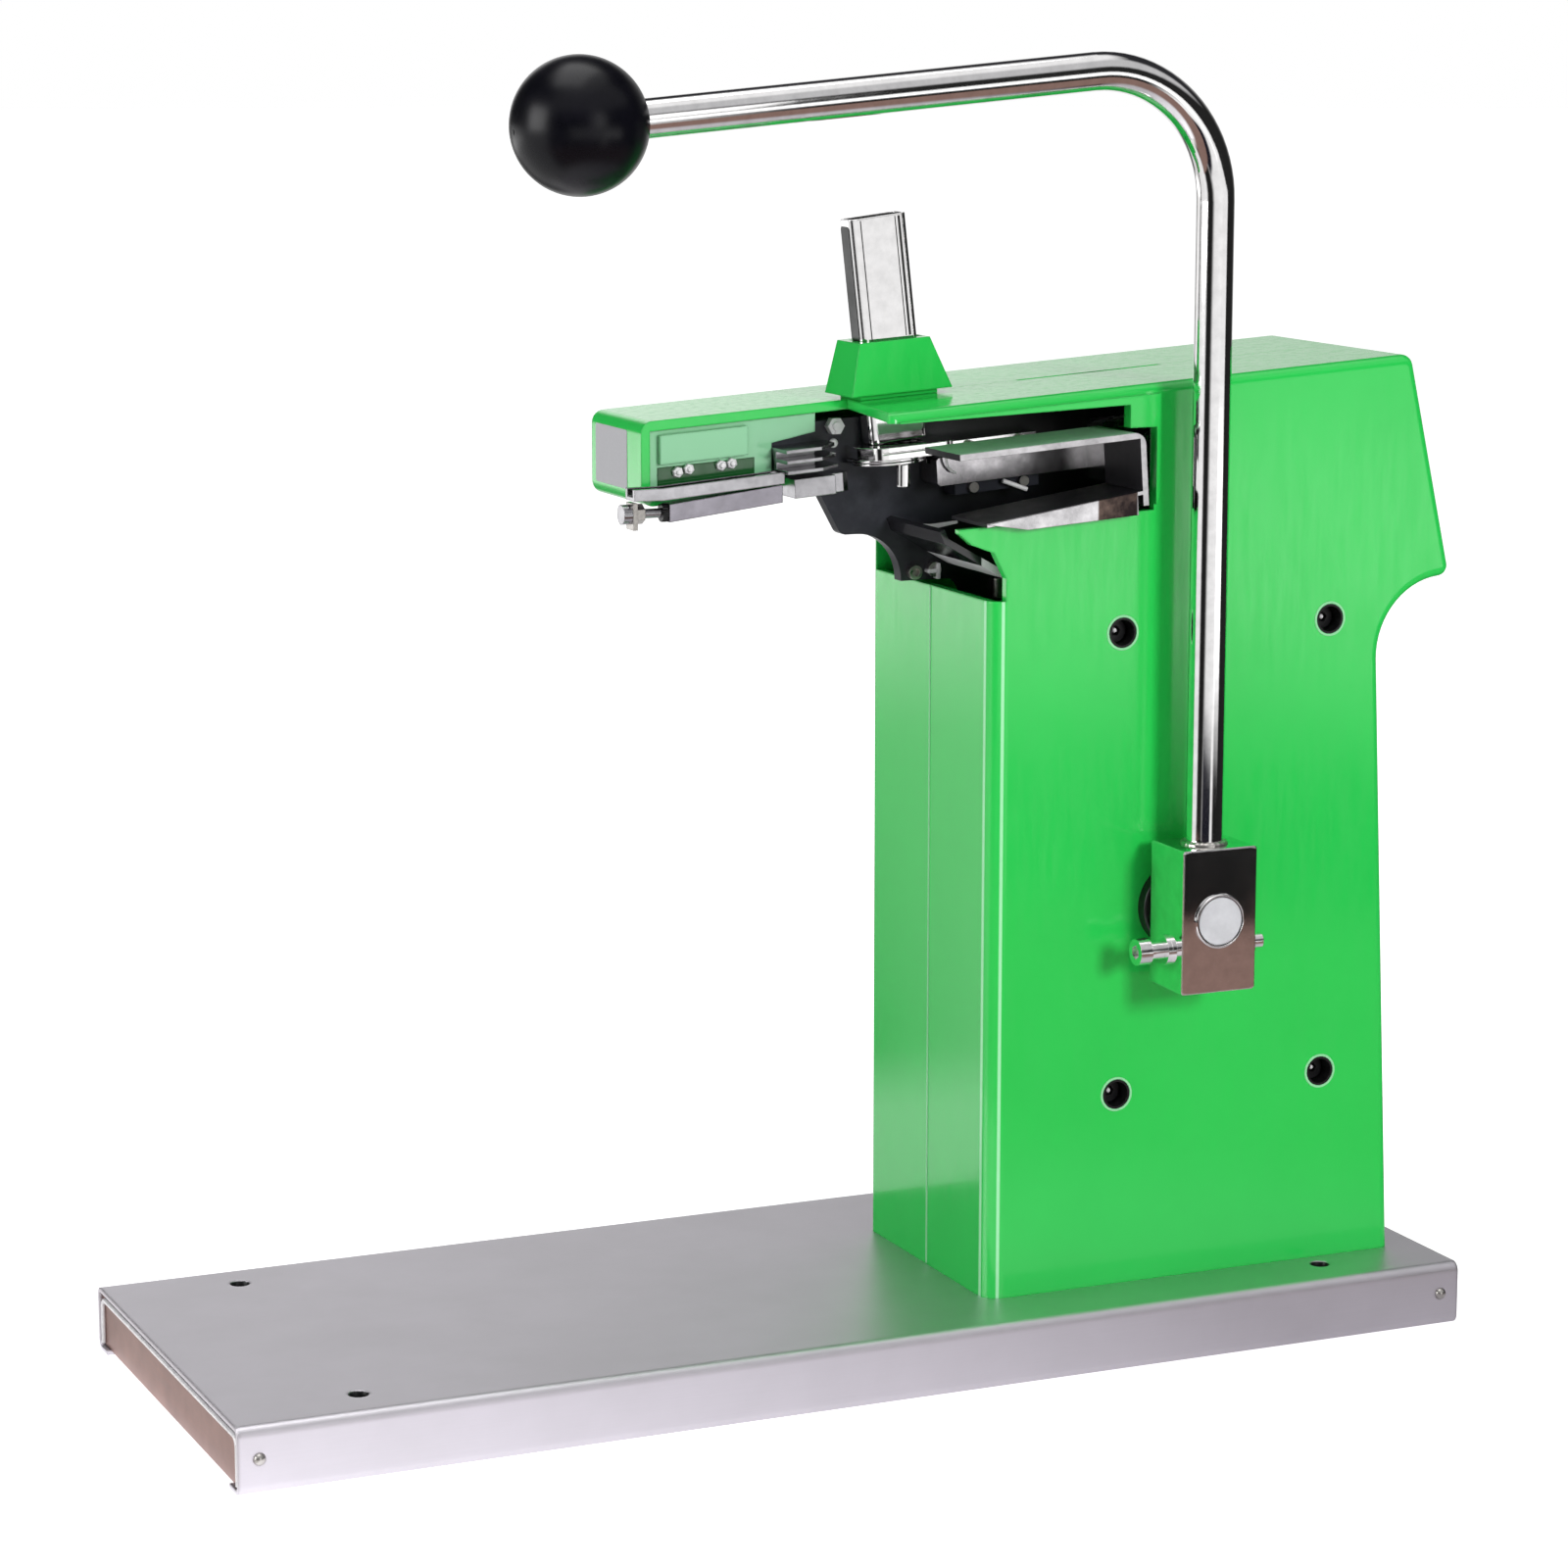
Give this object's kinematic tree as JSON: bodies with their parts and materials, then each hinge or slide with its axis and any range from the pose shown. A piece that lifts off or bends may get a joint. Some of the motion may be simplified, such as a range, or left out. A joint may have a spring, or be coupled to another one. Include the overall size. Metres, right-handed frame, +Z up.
{
  "type": "bag neck sealer",
  "caption": "Hand-lever bag neck clipper on a long flat steel base: moulded upright housing with an arm over a throat, clip magazine on top, bent lever with a ball knob",
  "frame": {"origin": "middle of the underside of the whole object's box at rest, in the plane it rests on (the base's own middle is 2.59 mm to the left of it and 5.7 mm behind it)", "axes": "+Z up, +X towards the housing end of the base, -Y towards the lever"},
  "size_m": [0.4252, 0.1716, 0.4186],
  "materials": {
    "base_steel": "brushed stainless",
    "housing_green": "gloss moulded plastic",
    "chrome": "polished chrome",
    "zinc_steel": "zinc plated",
    "black_steel": "black, satin",
    "plain_steel": "plain machined steel",
    "bronze": "sintered bronze",
    "rubber_black": "matt rubber",
    "knob_black": "polished phenolic",
    "bush_black": "satin moulded plastic"
  },
  "bodies": {
    "frame": {"base_plate": "base_steel", "left_end_cap": "base_steel", "right_end_cap": "base_steel", "near_shell": "housing_green", "far_shell": "housing_green", "magazine_holder": "housing_green", "arm_cover": "housing_green", "magazine_tube": "chrome", "nose_plate": "chrome", "throat_rings": "chrome", "throat_pin": "chrome", "arm_rail": "chrome", "arm_bar": "chrome", "upper_rail": "chrome", "lower_rail": "chrome", "jaw_plates": "chrome", "throat_guide": "chrome", "side_rivets": "zinc_steel", "shell_screws": "zinc_steel", "foot_bolts": "zinc_steel", "rail_screws": "zinc_steel", "throat_nut": "zinc_steel", "frame_screws": "zinc_steel", "arm_bolt": "zinc_steel", "arm_nut": "zinc_steel", "arm_screws": "zinc_steel", "arm_bracket": "zinc_steel", "frame_plate": "black_steel", "near_foot": "black_steel", "far_foot": "black_steel", "anvil": "black_steel", "bell_crank_stud": "plain_steel", "spring_anchor": "plain_steel", "return_spring": "plain_steel", "frame_bush": "bronze", "far_bush": "bronze", "crank_stop": "rubber_black", "near_bush": "bush_black"},
    "lever": {"lever_rod": "chrome", "knob": "knob_black", "clamp_block": "chrome", "pinch_bolt": "zinc_steel", "pinch_washer": "zinc_steel", "pinch_nut": "zinc_steel", "pivot_shaft": "chrome", "thrust_washer": "zinc_steel", "crank_arm": "plain_steel", "crank_pin": "plain_steel"},
    "link": {"link": "plain_steel"},
    "bell_crank": {"bell_crank": "plain_steel", "link_pin": "plain_steel", "drive_pin": "plain_steel"},
    "slide": {"slide_block": "plain_steel", "punch_bar": "chrome", "carriage": "chrome", "carriage_bracket": "plain_steel"},
    "follower": {"clip_follower": "plain_steel"}
  },
  "joints": [
    {"name": "lever_turn", "type": "hinge", "parent": "frame", "child": "lever", "pos_m": [0.11241, -0.0653, 0.146], "axis": [0, -1, 0], "range_deg": [0, 40], "stiffness_Nm_per_rad": 0.9, "springref_deg": -34.38, "deforming": ["return_spring"]},
    {"name": "link_turn", "type": "hinge", "parent": "lever", "child": "link", "pos_m": [0.1406, -0.0223, 0.13574], "axis": [0, -1, 0], "range_deg": [-40, 0]},
    {"name": "bell_crank_turn", "type": "hinge", "parent": "frame", "child": "bell_crank", "pos_m": [0.11241, -0.0163, 0.26], "axis": [0, -1, 0], "range_deg": [0, 40]},
    {"name": "slide_travel", "type": "slide", "parent": "frame", "child": "slide", "axis": [-0.9976, 0, -0.0698], "range_m": [0, 0.02053]},
    {"name": "follower_travel", "type": "slide", "parent": "frame", "child": "follower", "axis": [-0.1132, 0, 0.9936], "range_m": [0, 0.04]}
  ],
  "couplings": [
    {"joint": "link_turn", "follows": "lever_turn", "ratio": -1},
    {"joint": "bell_crank_turn", "follows": "lever_turn", "ratio": 1},
    {"joint": "slide_travel", "follows": "lever_turn", "m_per_rad": 0.029394}
  ]
}
